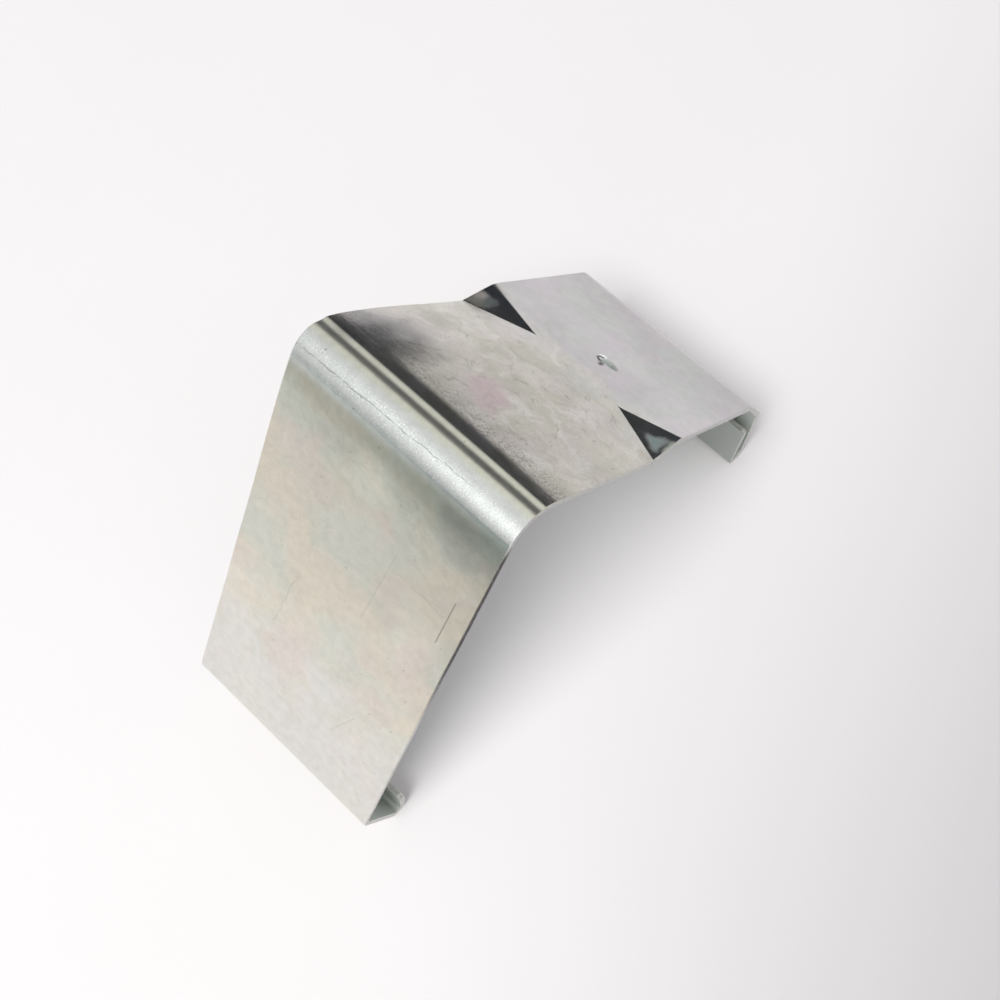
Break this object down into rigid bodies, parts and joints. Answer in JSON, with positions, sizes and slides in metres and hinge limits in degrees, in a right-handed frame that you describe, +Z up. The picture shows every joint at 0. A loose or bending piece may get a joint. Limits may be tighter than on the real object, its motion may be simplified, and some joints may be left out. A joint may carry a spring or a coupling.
{
  "type": "crate clip",
  "caption": "Folded spring-steel crate clip: a tent-shaped strip with a J-hook at each end and two pressed darts that stiffen its top panel.",
  "frame": {"origin": "middle of the footprint, on the plane that the clip's two hooks stand on", "axes": "+X from the leg's hook to the far hook, +Y across the strip's width, +Z up"},
  "size_m": [0.0976, 0.038, 0.0817],
  "materials": {
    "zinc_steel": "zinc-plated spring steel, dull satin with a cloudy grey-green and pink passivation film"
  },
  "bodies": {
    "root": {"clip_body": "zinc_steel"}
  },
  "joints": []
}
